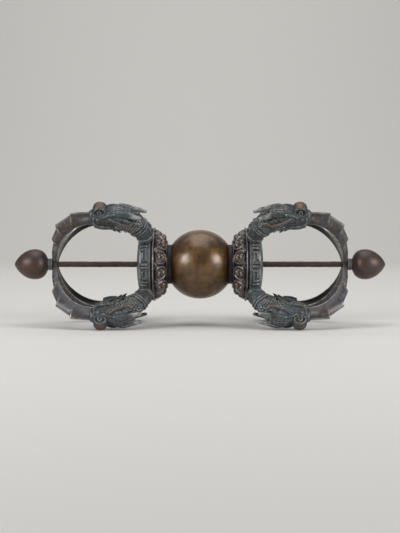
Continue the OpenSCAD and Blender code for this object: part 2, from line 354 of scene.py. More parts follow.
def store(mesh: bpy.types.Mesh, mark: Mark, values: Array) -> None:
    """Stores values from 0 to 1 at the points of a mesh."""
    made = mesh.attributes.new(mark.value, "FLOAT", "POINT")
    made.data.foreach_set("value", np.clip(values, 0, 1).astype(np.float32))


def mark_relief(mesh: bpy.types.Mesh, height: float, rounds: int, worn: Array | float = 0.0) -> None:
    """Stores which points stand out of the surface round them, and which lie in a hollow.

    Args:
        mesh: mesh in millimetres.
        height: height in millimetres that counts as fully raised.
        rounds: smoothing rounds, which set how broad a form counts.
        worn: share of bare metal from handling, with painted highlight, added as well at each point.
    """
    points, edges, normals = mesh_arrays(mesh)
    raised = ((points - smoothed(points, edges, rounds)) * normals).sum(1)
    local = (raised - smoothed(raised[:, None], edges, 4 * rounds)[:, 0]) / height
    # Raised points turn pale: bare metal and painted highlight
    store(mesh, Mark.RUBBED_AND_HIGHLIT, local + worn)
    # Points in a hollow get dirt and painted shade
    store(mesh, Mark.HOLLOW_DIRT_AND_SHADE, -local)


def mesh_of(name: str, solid: Solid) -> bpy.types.Mesh:
    """Makes a mesh from a solid.

    Args:
        name: name of the mesh.
        solid: closed surface in millimetres.

    Returns:
        The mesh, in millimetres.
    """
    mesh = bpy.data.meshes.new(name)
    mesh.from_pydata(solid.points.tolist(), [], solid.faces)
    mesh.update()
    return mesh


def placed(mesh: bpy.types.Mesh, end: End, turn: float = 0.0) -> bpy.types.Mesh:
    """Puts a mesh made for the right end in its place round the axis, in metres.

    Args:
        mesh: mesh in millimetres, with its outside along +Z; it is changed.
        end: end of the vajra.
        turn: angle about the axis, in degrees.

    Returns:
        The same mesh.
    """
    points, _, _ = mesh_arrays(mesh)
    c, s = math.cos(math.radians(turn)), math.sin(math.radians(turn))
    x, y, z = points.T
    y, z = y * c - z * s, y * s + z * c
    moved = np.stack([x * end.sign, y * end.sign, z], 1) * MM
    mesh.vertices.foreach_set("co", moved.ravel())
    mesh.update()
    return mesh


def show(mesh: bpy.types.Mesh, finish: bpy.types.Material, node: str, crease: float) -> None:
    """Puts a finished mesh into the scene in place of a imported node.

    Args:
        mesh: mesh in metres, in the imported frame; its name becomes the piece's name.
        finish: its material.
        node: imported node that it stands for.
        crease: angle in degrees over which an edge shows as sharp.
    """
    mesh.shade_smooth()
    mesh.set_sharp_from_angle(angle=math.radians(crease))
    mesh.materials.append(finish)
    piece = bpy.data.objects.new(mesh.name, mesh)
    bpy.context.scene.collection.objects.link(piece)
    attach(piece, BODY)
    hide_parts(node)
    LOG.info("%s: %d faces", piece.name, len(mesh.polygons))


# Levels of the noise between which each pattern goes from nothing to full
CLOUD_LEVELS = (0.40, 0.62)
SPECK_LEVELS = (0.50, 0.64)
BREAK_LEVELS = (0.28, 0.60)
PATTERN_DETAIL = 4.0
GRAIN_DETAIL = 3.0
GRAIN_STRENGTH = 0.6
# How much rougher the crust of a speck is than the patina round it
SPECK_ROUGHER = 0.12


@dataclass(frozen=True)
class AgedMetal:
    """Metal darkened for generations: patina clouds and specks, dirt and painted shade in hollows, bare metal
    and painted highlight where hands rub.
    """

    name: str
    patina: str
    cloud: str
    speck: str
    dirt_and_shade: str
    bare_and_highlight: str
    copper: str = "#7d5432"
    cloud_mm: float = 9.0
    speck_mm: float = 1.6
    break_mm: float = 2.4
    # The grain of a casting's skin, about 0.2 mm, is too fine to show, so it is drawn coarser
    grain_mm: float = 0.5
    grain_height: float = 0.03
    rough: float = 0.5
    rough_bare: float = 0.34
    metallic: float = 0.5
    speck_share: float = 0.5
    bare_and_highlight_share: float = 0.8
    dirt_and_shade_share: float = 0.9
    coat: float = 0.0
    coat_rough: float = 0.2

    def material(self) -> bpy.types.Material:
        """Builds the finish.

        Returns:
            The material, which reads the marks that each mesh stores.
        """
        made = bpy.data.materials.new(self.name)
        made.use_nodes = True
        tree = made.node_tree
        tree.nodes.clear()
        place = add_node(tree, "ShaderNodeTexCoord", {}, {}).outputs["Object"]
        clouds = self._pattern(tree, place, self.cloud_mm, CLOUD_LEVELS)
        specks = self._pattern(tree, place, self.speck_mm, SPECK_LEVELS)
        breaks = self._pattern(tree, place, self.break_mm, BREAK_LEVELS)
        dots = self._product(tree, specks, self.speck_share)
        copper = self._product(tree, self._mark(tree, Mark.COPPER), breaks)
        # Raised parts take the pale colour of bare metal and painted highlight
        worn_through_and_highlit = self._product(tree, self._mark(tree, Mark.RUBBED_AND_HIGHLIT), breaks)
        rubbed = self._product(tree, worn_through_and_highlit, self.bare_and_highlight_share)
        # Dirt and painted shade darken the hollows
        hollow = self._product(tree, self._mark(tree, Mark.HOLLOW_DIRT_AND_SHADE), self.dirt_and_shade_share)
        coats = ((clouds, self.cloud), (dots, self.speck), (hollow, self.dirt_and_shade), (rubbed, self.bare_and_highlight),
                 (copper, self.copper))
        colour = linear(self.patina)
        for share, tint in coats:
            mix = add_node(tree, "ShaderNodeMix", {"data_type": "RGBA"}, {
                0: share, 6: colour, 7: linear(tint)})
            colour = mix.outputs[2]
        worn = add_node(tree, "ShaderNodeMapRange", {}, {
            "Value": rubbed, "To Min": self.rough, "To Max": self.rough_bare}).outputs[0]
        rough = add_node(tree, "ShaderNodeMath", {"operation": "MULTIPLY_ADD"}, {
            0: dots, 1: SPECK_ROUGHER, 2: worn})
        grain = add_node(tree, "ShaderNodeTexNoise", {}, {
            "Vector": place, "Scale": 1 / (self.grain_mm * MM), "Detail": GRAIN_DETAIL})
        tooth = add_node(tree, "ShaderNodeBump", {}, {
            "Strength": GRAIN_STRENGTH, "Distance": self.grain_height * MM, "Height": grain.outputs[0]})
        shader = add_node(tree, "ShaderNodeBsdfPrincipled", {}, {
            "Base Color": colour, "Roughness": rough.outputs[0], "Metallic": self.metallic,
            "Normal": tooth.outputs[0], "Coat Weight": self.coat, "Coat Roughness": self.coat_rough})
        add_node(tree, "ShaderNodeOutputMaterial", {}, {"Surface": shader.outputs[0]})
        return made

    def _pattern(self, tree: bpy.types.NodeTree, place: bpy.types.NodeSocket, size_mm: float,
                 levels: tuple[float, float]) -> bpy.types.NodeSocket:
        """Cloudy pattern of a real size.

        Args:
            tree: node tree of the finish.
            place: coordinates in metres.
            size_mm: size of the clouds.
            levels: noise levels that become 0 and 1.

        Returns:
            Socket with values from 0 to 1.
        """
        noise = add_node(tree, "ShaderNodeTexNoise", {}, {
            "Vector": place, "Scale": 1 / (size_mm * MM), "Detail": PATTERN_DETAIL})
        level = add_node(tree, "ShaderNodeMapRange", {}, {
            "Value": noise.outputs[0], "From Min": levels[0], "From Max": levels[1]})
        return level.outputs[0]

    def _mark(self, tree: bpy.types.NodeTree, mark: Mark) -> bpy.types.NodeSocket:
        """Socket that reads a stored mark."""
        return add_node(tree, "ShaderNodeAttribute", {"attribute_name": mark.value}, {}).outputs["Fac"]

    def _product(self, tree: bpy.types.NodeTree, first: bpy.types.NodeSocket,
                 second: bpy.types.NodeSocket | float) -> bpy.types.NodeSocket:
        """Socket with the product of two shares."""
        return add_node(tree, "ShaderNodeMath", {"operation": "MULTIPLY"}, {0: first, 1: second}).outputs[0]


# Cast bronze, polished and greased by the hand that grips it: brown, mottled nearly black, white highlights
GLOBE_BRONZE = AgedMetal(
    "hand_polished_bronze", "#694819", "#4c3412", "#33250f", "#2b1e12", "#7d6240", cloud_mm=5.0, speck_mm=2.2,
    rough=0.5, metallic=0.7, grain_height=0.02, speck_share=0.55, coat=1.0, coat_rough=0.27)
# Cast and chased bronze under blue-grey patina: brown clouds, dull; dirt and painted shade black in the
# hollows, bare metal and painted highlight pale on the edges
CAST_BRONZE = AgedMetal(
    "cast_patinated_bronze", "#414952", "#3a3837", "#656f6a", "#0c0e10", "#b7bab8", copper="#84624a",
    speck_mm=1.0, bare_and_highlight_share=1.0, speck_share=0.6, grain_mm=0.7, grain_height=0.06)
# The same casting, touched more by the gripping hand: copper shows on the beads of the petals
LOTUS_BRONZE = AgedMetal(
    "rubbed_lotus_bronze", "#484347", "#3c3331", "#5c534b", "#0d0c0c", "#a4998e", copper="#674a28",
    speck_mm=1.0, bare_and_highlight_share=1.0, rough=0.42, coat=0.8, coat_rough=0.18)
# Cast bronze prongs, scraped smoother than the heads: grey with brown clouds, and pale ridges of bare metal
# and painted highlight
PRONG_BRONZE = AgedMetal(
    "scraped_prong_bronze", "#4d4e55", "#51443b", "#73716c", "#151414", "#bdbab4", cloud_mm=6.0, speck_mm=1.1,
    rough=0.42, bare_and_highlight_share=1.0, grain_mm=0.8, grain_height=0.05)
# Turned bronze buds under brown patina: soft grey-brown clouds and a low sheen from handling
FINIAL_BRONZE = AgedMetal(
    "handled_finial_bronze", "#4c3426", "#41393b", "#594739", "#1e1815", "#7d6757", cloud_mm=6.0, rough=0.48,
    metallic=0.6, coat=0.35, coat_rough=0.42)
# Turned bronze collar at the prong tips: dull and mottled; silvery grey painted lighter than its metal,
# painted light to make up for the shade of the prongs round it
COLLAR_BRONZE = AgedMetal(
    "dull_collar_bronze", "#8a8c90", "#6e6f73", "#57565a", "#1c1d1f", "#a9acb2", cloud_mm=3.0, speck_mm=1.0)
# Seat rings and pins: the same bronze, dull and painted nearly black, a painted shade for the shadow they sit
# in between the parts
SHADE_PAINTED_BRONZE = AgedMetal(
    "shade_painted_bronze", "#34353a", "#2a292b", "#3d3935", "#0d0e0f", "#5c5c5a", cloud_mm=4.0, rough=0.55)
# Wrought iron rod, drawn by hand and rusted brown: the dullest of the metals
ROD_IRON = AgedMetal(
    "rusted_wrought_iron", "#463a34", "#39302c", "#523f35", "#1e1815", "#6b5f57", cloud_mm=4.0, rough=0.6,
    metallic=0.35)


@dataclass(frozen=True)
class Layout:
    """Stations along the axis and radii, in millimetres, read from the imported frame.

    The last three fields repeat sizes of the prongs that no node's box gives.
    """

    globe_r: float
    rod_r: float
    rod_end: float
    lotus_x: float
    drum_x: float
    apex_x: float
    mouth_x: float
    tip_x: float
    collar_x: float
    finial_x: float
    end_x: float
    lotus_r: float
    drum_r: float
    collar_r: float
    bud_r: float
    cage_r: float = 27.0
    tip_inner_x: float = 64.0
    prong_t: float = 5.7

    @classmethod
    def from_frame(cls) -> "Layout":
        """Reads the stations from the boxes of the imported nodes.

        Returns:
            The layout of the right end, which the left end repeats.
        """
        def span(node: str, axis: int = 0) -> tuple[float, float]:
            """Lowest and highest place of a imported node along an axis, in millimetres."""
            low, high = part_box(node)
            return low[axis] / MM, high[axis] / MM

        tang, pin = span("right_prong_1")[0], sum(span("right_mouth_pins")) / 2
        return cls(
            globe_r=span("centre_globe", 2)[1], rod_r=span("core_rod", 2)[1], rod_end=span("core_rod")[1],
            lotus_x=span("right_lotus_collar")[0], drum_x=span("right_fret_drum")[0],
            apex_x=span("right_fret_drum")[1], mouth_x=2 * pin - tang, tip_x=span("right_tip_collar")[0],
            collar_x=span("right_tip_collar")[1], finial_x=span("right_finial")[0],
            end_x=span("right_finial")[1], lotus_r=span("right_lotus_collar", 2)[1],
            drum_r=span("right_fret_drum", 2)[1], collar_r=span("right_tip_collar", 2)[1],
            bud_r=span("right_finial", 2)[1])

    @property
    def bore_r(self) -> float:
        """Radius of the bores that the rod runs in."""
        return self.rod_r + FIT


@dataclass
class CentreGlobe:
    """The plain globe that is gripped, cast and scraped round by hand."""

    layout: Layout
    rings: int = 120
    around: int = 192
    dents: int = 90
    dent_depth: float = 0.06
    depth_shares: tuple[float, float] = (0.3, 1.0)
    dent_radians: tuple[float, float] = (0.08, 0.22)
    seed: int = 7
    crease: float = 50.0

    def build(self) -> None:
        """Builds and dresses the globe with the shallow dents that scraping left."""
        r = self.layout.globe_r
        start = math.asin(self.layout.bore_r / r)
        polar = np.linspace(start, np.pi - start, self.rings)
        profile = np.stack([-r * np.cos(polar), r * np.sin(polar)], 1)
        angle = np.linspace(0, 2 * np.pi, self.around, endpoint=False)
        out = np.stack([
            np.repeat(-np.cos(polar)[:, None], self.around, 1), np.outer(np.sin(polar), -np.sin(angle)),
            np.outer(np.sin(polar), np.cos(angle))], -1)
        random = np.random.default_rng(self.seed)
        relief = np.zeros(out.shape[:2])
        for _ in range(self.dents):
            spot = unit_rows(random.normal(size=3))
            depth = self.dent_depth * random.uniform(*self.depth_shares)
            breadth = random.uniform(*self.dent_radians)
            relief -= depth * np.exp(2 * (out @ spot - 1) / breadth ** 2)
        # The dents fade out towards the bore
        relief *= eased(np.sin(polar), 0.1, 0.3)[:, None]
        mesh = placed(mesh_of("globe_scraped", lathe(profile, self.around, relief)), End.RIGHT)
        show(mesh, GLOBE_BRONZE.material(), "centre_globe", self.crease)


@dataclass
class LotusCollar:
    """Flaring collar of petals, each holding two beads, between a narrow and a wide rim."""

    layout: Layout
    petals: int = 12
    rim_w: float = 1.0
    wide_rim_w: float = 0.75
    wide_rim_drop: float = 0.3
    wide_edge_drop: float = 0.5
    neck_r: float = 10.8
    bevel: float = 0.25
    small_bevel: float = 0.2
    petal_h: float = 1.5
    bulge: float = 0.4
    leaf_h: float = 0.55
    lip_h: float = 0.35
    bead_h: float = 1.15
    tip_bead_h: float = 0.75
    sprout_h: float = 0.5
    vein_h: float = 0.22
    outline_power: float = 2.4
    cone_rows: int = 44
    petal_columns: int = 36
    wear_h: float = 0.2
    wear_rounds: int = 12
    crease: float = 60.0

    @property
    def around(self) -> int:
        """Points round the collar."""
        return self.petals * self.petal_columns

    def build(self, end: End, finish: bpy.types.Material) -> None:
        """Builds and dresses the collar at one end.

        Args:
            end: end of the vajra.
            finish: its material.
        """
        lay = self.layout
        x0, x1 = lay.lotus_x + self.rim_w, lay.drum_x - self.wide_rim_w
        r0, r1 = self.neck_r - self.petal_h / 3, lay.lotus_r - self.petal_h
        step = np.linspace(0, 1, self.cone_rows)[:, None]
        cone = np.array([x0, r0]) + step * np.array([x1 - x0, r1 - r0])
        bowl = lay.globe_r + FIT
        dish = math.sqrt(bowl ** 2 - lay.lotus_x ** 2)
        wide_r, edge_r = lay.lotus_r - self.wide_rim_drop, lay.lotus_r - self.wide_edge_drop
        head = [
            [math.sqrt(bowl ** 2 - lay.bore_r ** 2), lay.bore_r], [lay.lotus_x, dish],
            [lay.lotus_x, self.neck_r - self.bevel], [lay.lotus_x + self.bevel, self.neck_r],
            [x0 - self.bevel, self.neck_r], [x0, self.neck_r - self.small_bevel]]
        tail = [
            [x1, edge_r], [x1 + self.small_bevel, wide_r], [lay.drum_x - self.bevel, wide_r],
            [lay.drum_x - FIT, edge_r], [lay.drum_x - FIT, lay.bore_r]]
        profile = np.array(head + cone.tolist() + tail)
        relief, copper = np.zeros((len(profile), self.around)), np.zeros((len(profile), self.around))
        rows = slice(len(head), len(head) + len(cone))
        relief[rows], copper[rows] = self._petals(len(cone))
        mesh = mesh_of(f"{end.value}_lotus_chased", lathe(profile, self.around, relief))
        mark_relief(mesh, self.wear_h, self.wear_rounds)
        store(mesh, Mark.COPPER, copper.ravel())
        show(placed(mesh, end), finish, f"{end.value}_lotus_collar", self.crease)

    def _petals(self, count: int) -> tuple[Array, Array]:
        """Heights of the petals over the cone, and where copper shows.

        Args:
            count: rows along the cone.

        Returns:
            Heights in millimetres and shares of copper, by row and angle.
        """
        along = np.linspace(0, 1, count)[:, None]
        turn = np.linspace(0, 1, self.around, endpoint=False) * self.petals
        across = 2 * np.abs(turn - np.floor(turn) - 0.5)[None, :]

        def dome(at: float, half_across: float, half_along: float) -> Array:
            """Round bead on the middle line of a petal, in shares of the petal."""
            return np.sqrt(np.clip(1 - (across / half_across) ** 2 - ((along - at) / half_along) ** 2, 0, 1))

        power = self.outline_power
        inside = ((across / 0.96) ** power + (np.abs(along - 0.5) / 0.54) ** power) ** (1 / power)
        leaf = self.leaf_h * (1 - eased(inside, 0.88, 1.04)) + self.lip_h * bump(inside, 0.83, 0.09)
        heart = dome(at=0.34, half_across=0.46, half_along=0.21)
        tip = dome(at=0.71, half_across=0.33, half_along=0.14)
        between = self.sprout_h * bump(across, 1.0, 0.13) * eased(along, 0.62, 0.84)
        veins = self.vein_h * bump(across, 0.80, 0.06) * eased(along, 0.70, 0.90)
        height = self.bulge * np.sin(np.pi * along) + leaf + self.bead_h * heart + self.tip_bead_h * tip
        return height + between + veins, 1.2 * eased(heart, 0.25, 0.7) + 0.35 * eased(tip, 0.5, 0.9)


@dataclass
class FretDrum:
    """Short drum with two fillets, a raised key fret and a domed end."""

    layout: Layout
    units: int = 12
    band_w: float = 3.9
    fillet_w: float = 0.35
    fillet_edge: float = 0.2
    fillets: tuple[float, float] = (1.4, 3.2)
    fret_w: float = 5.8
    line_w: float = 0.95
    line_h: float = 0.45
    ground: float = 0.3
    dome_stop: float = 0.085
    band_rows: int = 28
    dome_rows: int = 42
    unit_columns: int = 48
    wear_h: float = 0.14
    wear_rounds: int = 8
    crease: float = 60.0

    @property
    def around(self) -> int:
        """Points round the drum."""
        return self.units * self.unit_columns

    def build(self, end: End, finish: bpy.types.Material) -> None:
        """Builds and dresses the drum at one end.

        Args:
            end: end of the vajra.
            finish: its material.
        """
        lay = self.layout
        rim_x = lay.drum_x - FIT + self.band_w
        step = np.linspace(0, 1, self.band_rows)[:, None]
        band = np.array([lay.drum_x, lay.drum_r]) + step * np.array([rim_x - lay.drum_x, 0.0])
        turn = np.linspace(0, np.pi / 2 - self.dome_stop, self.dome_rows)[1:]
        dome = np.stack([rim_x + (lay.apex_x - rim_x) * np.sin(turn), lay.drum_r * np.cos(turn)], 1)
        run = np.vstack([band, dome])
        length = np.concatenate([[0], np.cumsum(np.linalg.norm(np.diff(run, axis=0), axis=1))])
        face = [[lay.drum_x, lay.bore_r], [lay.drum_x, lay.drum_r - 2 * self.ground]]
        profile = np.vstack([face, run, [[dome[-1, 0], lay.bore_r]]])
        relief = np.zeros((len(profile), self.around))
        relief[len(face):len(face) + len(run)] = self._fret(length)
        mesh = mesh_of(f"{end.value}_drum_chased", lathe(profile, self.around, relief))
        mark_relief(mesh, self.wear_h, self.wear_rounds)
        show(placed(mesh, end), finish, f"{end.value}_fret_drum", self.crease)

    def _fret(self, length: Array) -> Array:
        """Heights of fillets and key fret over the band and the dome's shoulder.

        Args:
            length: distance along the outline from the lotus, in millimetres.

        Returns:
            Heights in millimetres by row and angle.
        """
        pitch = 2 * math.pi * self.layout.drum_r / self.units
        along = (np.linspace(0, 1, self.around, endpoint=False) * self.units % 1.0)[None, :] * pitch
        across = (length - 4 * self.fillet_w)[:, None]
        # Turns of one key, as shares of its pitch and of the fret's width
        key = np.array([
            [0.05, 0.2], [0.05, 0.82], [0.86, 0.82], [0.86, 0.2], [0.30, 0.2], [0.30, 0.54], [0.62, 0.54]])
        key = key * [pitch, self.fret_w]
        lines = [(key[i], key[i + 1]) for i in range(len(key) - 1)]
        lines += [(np.array([-1, q]), np.array([pitch + 1, q])) for q in (0.0, self.fret_w)]
        near = np.full(np.broadcast(along, across).shape, pitch)
        for a, b in lines:
            step = b - a
            t = np.clip(((along - a[0]) * step[0] + (across - a[1]) * step[1]) / step.dot(step), 0, 1)
            near = np.minimum(near, np.hypot(along - a[0] - t * step[0], across - a[1] - t * step[1]))
        raised = self.line_h * (1 - eased(near, 0.3 * self.line_w, 0.75 * self.line_w))
        ridges = [(across + self.fillet_w * at) / self.fillet_edge for at in self.fillets]
        fillets = sum(self.ground * np.exp(-ridge ** 4) for ridge in ridges)
        dome = self.ground * eased(across, self.fret_w + 0.2, self.fret_w + 0.6)
        return raised + fillets + dome - self.ground


@dataclass
class Casting:
    """Piece cast from one pattern for every place round the axis, at both ends."""

    layout: Layout
    piece: str
    node: str
    slot: str
    crease: float
    wear_h: float
    wear_rounds: int
    pattern: bpy.types.Mesh | None = field(default=None, repr=False)

    def shaped(self) -> bpy.types.Mesh:
        """Pattern in millimetres for the right end, with its outside along +Z."""
        raise NotImplementedError

    def build(self, end: End, number: int, finish: bpy.types.Material) -> None:
        """Puts one casting in its place.

        Args:
            end: end of the vajra.
            number: place round the axis, from 1.
            finish: its material.
        """
        if self.pattern is None:
            self.pattern = self.shaped()
        mesh = placed(self.pattern.copy(), end, 360 / PLACES * (number - 0.5))
        mesh.name = f"{end.value}_{self.piece}_{number}"
        show(mesh, finish, f"{end.value}_{self.node}_{number}", self.crease)


@dataclass
class MakaraHead(Casting):
    """One makara casting: scaled neck, horned skull, rolled snout and jaws that hold a prong.

    Its forms are rows with x measured from the mouth, y and z, half height and half width.
    """

    piece: str = "head"
    node: str = "makara"
    slot: str = "cast_bronze"
    crease: float = 80.0
    wear_h: float = 0.11
    wear_rounds: int = 10
    voxel: float = 0.19
    wax_rounds: int = 2
    neck_rings: int = 60
    neck_r: float = 3.5
    cuffs: tuple[tuple[int, float], ...] = ((8, 0.45), (10, 0.45), (19, 0.4), (21, 0.5))
    scale_mm: float = 1.15
    scale_h: float = 0.2
    scute_mm: float = 1.4
    hair_mm: float = 0.9
    hair_h: float = 0.13
    curl_mm: float = 1.6
    roll_r: float = 3.0
    roll_start: float = -35.0
    roll_turn: float = 480.0
    roll_close: float = 0.70
    core_r: float = 2.7
    core_half_w: float = 1.3

    def _stationed(self, rows: Rows) -> Array:
        """Rows with x measured from the mouth, moved to the mouth's station."""
        return np.array(rows) + [self.layout.mouth_x, 0, 0, 0, 0]

    def neck_keys(self) -> Array:
        """Rows along neck and skull, from the drum to the lips."""
        return self._stationed([
            [-22.2, 0, 14.0, 2.8, 2.8], [-22.0, 0, 17.0, 3.1, 2.9], [-21.1, 0, 20.0, 3.6, 3.0],
            [-18.8, 0, 23.2, 4.1, 3.1], [-15.4, 0, 26.0, 4.3, 3.2], [-11.6, 0, 28.0, 4.6, 3.4],
            [-8.0, 0, 29.2, 4.9, 3.5], [-4.0, 0, 29.6, 4.4, 3.4], [-0.6, 0, 29.85, 3.8, 2.9]])

    def parts(self) -> list[Solid]:
        """Solids that make up one head, for the right end, before they are worked into one surface.

        Returns:
            Closed solids that overlap.
        """
        made = [tube(self.neck_keys(), self.neck_rings, sides=28)]
        rows = flow(self.neck_keys(), self.neck_rings)
        tangents = unit_rows(np.gradient(rows[:, :3], axis=0))
        for ring, thick in self.cuffs:
            high, wide = rows[ring, 3:] + 0.1
            made.append(hoop(rows[ring, :3], tangents[ring], high, wide, thick))
        middle = {
            "crown": [
                [-5.8, 0, 32.3, 1.7, 2.6], [-9.5, 0, 33.0, 1.9, 3.0], [-13.0, 0, 32.4, 1.9, 3.1],
                [-16.2, 0, 30.9, 1.5, 2.7], [-18.6, 0, 29.2, 0.9, 1.9]],
            "lower jaw": [[-8.4, 0, 26.2, 1.6, 2.4], [-4.5, 0, 25.9, 1.3, 2.3], [-0.9, 0, 26.5, 1.0, 2.1]],
            "chin tuft": [[-2.6, 0, 25.2, 0.8, 0.9], [-4.6, 0, 24.2, 0.8, 0.7], [-6.4, 0, 23.8, 0.3, 0.3]],
            "beard": [[-7.6, 0, 24.8, 0.9, 1.0], [-9.2, 0, 23.2, 0.8, 0.8], [-10.0, 0, 21.9, 0.3, 0.3]],
            "nape lock": [
                [-17.2, 0, 28.4, 1.3, 1.6], [-20.2, 0, 27.0, 1.0, 1.2], [-22.2, 0, 24.8, 0.35, 0.4]],
        }
        made += [tube(self._stationed(keys), count=16, power=2.4) for keys in middle.values()]
        cheek = self._cheek()
        return made + self._snout() + cheek + [part.mirrored() for part in cheek]

    def _snout(self) -> list[Solid]:
        """Snout that rises from the upper lip and rolls back on itself, hollow at both ends of the roll.

        Returns:
            The rolled strip, its core, its bridge to the lip and its eye.
        """
        x, z = self.layout.mouth_x - 3.8, 33.8
        keys = []
        for u in np.linspace(0, 1, 40):
            a = math.radians(self.roll_start + self.roll_turn * u)
            r = self.roll_r * (1 - self.roll_close * u)
            keys.append([x + r * math.cos(a), 0, z + r * math.sin(a), 0.75 - 0.2 * u, 2.45 - 0.3 * u])
        angle = np.linspace(0, 2 * np.pi, 28, endpoint=False)
        disc = np.stack([x + self.core_r * np.cos(angle), 0 * angle, z + self.core_r * np.sin(angle)], 1)
        core = skin(np.array([disc + [0, y, 0] for y in (-self.core_half_w, 0, self.core_half_w)]))
        to_lip = self._stationed([[-2.2, 0, 30.8, 1.3, 2.6], [-0.9, 0, 32.2, 1.0, 2.4]])
        roll, bridge = tube(keys, count=90, power=2.6), tube(to_lip, count=8, power=3.0)
        return [roll, core, bridge, bead((x, 0, z), (0.8, 2.4, 0.8))]

    def _cheek(self) -> list[Solid]:
        """Features of one cheek: horn, ear and its rim, eye and brow, lips, teeth, beard and mane.

        Returns:
            Closed solids on the +Y side.
        """
        limbs = {
            "horn": [
                [-9.0, 2.0, 32.6, 1.6, 1.4], [-12.6, 2.5, 33.4, 1.5, 1.3], [-16.2, 2.7, 32.6, 1.15, 1.1],
                [-20.4, 2.7, 31.4, 0.85, 0.8]],
            "ear rim": [
                [-6.2, 3.1, 33.0, 0.5, 0.6], [-8.8, 3.7, 31.0, 0.6, 0.8], [-11.6, 4.0, 29.5, 0.65, 0.85],
                [-14.4, 4.0, 28.5, 0.7, 0.85], [-16.3, 3.9, 28.5, 0.7, 0.75], [-17.4, 3.8, 29.4, 0.65, 0.7]],
            "mane lock": [
                [-13.6, 3.4, 30.6, 1.2, 0.6], [-16.8, 3.6, 28.8, 0.8, 0.5], [-19.4, 3.2, 26.8, 0.3, 0.3]],
            "brow": [[-4.8, 2.8, 31.8, 0.5, 0.5], [-7.0, 3.2, 33.2, 0.7, 0.65], [-9.6, 3.2, 33.8, 0.6, 0.6]],
            "upper lip": [
                [-7.0, 3.2, 26.6, 0.5, 0.55], [-3.6, 3.4, 27.3, 0.55, 0.6], [-0.9, 3.0, 28.3, 0.5, 0.5],
                [-0.6, 2.6, 31.2, 0.45, 0.5]],
            "lower lip": [
                [-6.6, 2.9, 25.4, 0.45, 0.5], [-3.4, 2.7, 25.4, 0.5, 0.5], [-0.8, 2.2, 26.0, 0.5, 0.5]],
            "chin curl": [
                [-6.2, 1.6, 25.2, 0.55, 0.5], [-8.4, 1.7, 23.9, 0.5, 0.45], [-9.4, 1.7, 22.6, 0.3, 0.3]],
            "jaw curl": [
                [-8.2, 2.5, 25.8, 0.6, 0.5], [-10.4, 2.7, 24.2, 0.5, 0.45], [-11.6, 2.6, 22.8, 0.3, 0.3]],
            "neck curl": [
                [-10.0, 3.1, 26.6, 0.6, 0.5], [-12.8, 3.2, 25.2, 0.5, 0.45], [-14.6, 3.0, 23.6, 0.3, 0.3]],
        }
        made = [tube(self._stationed(keys)) for keys in limbs.values()]
        m = self.layout.mouth_x
        eye_x, eye_z = m - 7.2, 31.0
        around = np.linspace(0, 2 * np.pi, 13)
        lid = [[eye_x + 1.25 * math.cos(a), 3.3, eye_z + math.sin(a), 0.28, 0.4] for a in around]
        eyeball = bead((eye_x, 3.2, eye_z), (0.85, 0.75, 0.7))
        ear = bead((m - 11.6, 2.3, 31.4), (4.6, 1.5, 2.0))
        nostril = bead((m - 2.6, 2.9, 30.6), (0.9, 0.6, 0.9))
        teeth = [bead((m - 6.0 + k, 3.1 - 0.08 * k, 26.0 + 0.16 * k), (0.34, 0.42, 0.55)) for k in range(6)]
        return made + [tube(lid, count=26, sides=8), eyeball, ear, nostril] + teeth

    def shaped(self) -> bpy.types.Mesh:
        """Works the solids into one surface and chases scales, belly scutes and hair into it.

        Returns:
            Mesh in millimetres for the right end.
        """
        points: list[Array] = []
        faces: list[tuple[int, ...]] = []
        count = 0
        for part in self.parts():
            points.append(part.points)
            faces += [tuple(i + count for i in f) for f in part.faces]
            count += len(part.points)
        rough = bpy.data.objects.new("makara_wax", mesh_of("makara_wax", Solid(np.vstack(points), faces)))
        bpy.context.scene.collection.objects.link(rough)
        union = rough.modifiers.new("one_surface", "REMESH")
        union.mode = "VOXEL"
        union.voxel_size = self.voxel
        mesh = bpy.data.meshes.new_from_object(rough.evaluated_get(bpy.context.evaluated_depsgraph_get()))
        bpy.data.objects.remove(rough)
        cast, edges, _ = mesh_arrays(mesh)
        mesh.vertices.foreach_set("co", smoothed(cast, edges, self.wax_rounds).ravel())
        mesh.update()
        cast, _, normals = mesh_arrays(mesh)
        mesh.vertices.foreach_set("co", (cast + normals * self._chasing(cast)[:, None]).ravel())
        mesh.update()
        copper, bare_and_highlight = self._wear(cast)
        mark_relief(mesh, self.wear_h, self.wear_rounds, bare_and_highlight)
        store(mesh, Mark.COPPER, copper)
        return mesh

    def _wear(self, cast: Array) -> tuple[Array, Array]:
        """Where handling has worn the casting: copper on the snout's roll and ear rims, pale horns of bare
        metal and painted highlight.

        Args:
            cast: points of the casting.

        Returns:
            Share of copper, and share of bare metal and painted highlight, at each point.
        """
        m = self.layout.mouth_x
        x, y, z = cast.T
        roll = 0.8 * eased(z, 35.6, 37.2) * eased(x, m - 8.4, m - 7.0)
        ear = 0.6 * eased(np.abs(y), 4.2, 4.6) * eased(z, 27.6, 28.0)
        # The pale horns are bare metal and a painted highlight, the same on both sides
        horn = 0.7 * eased(z, 30.0, 30.6) * (1 - eased(x, m - 18.5, m - 15.0)) * eased(np.abs(y), 1.4, 1.8)
        return roll + ear, horn

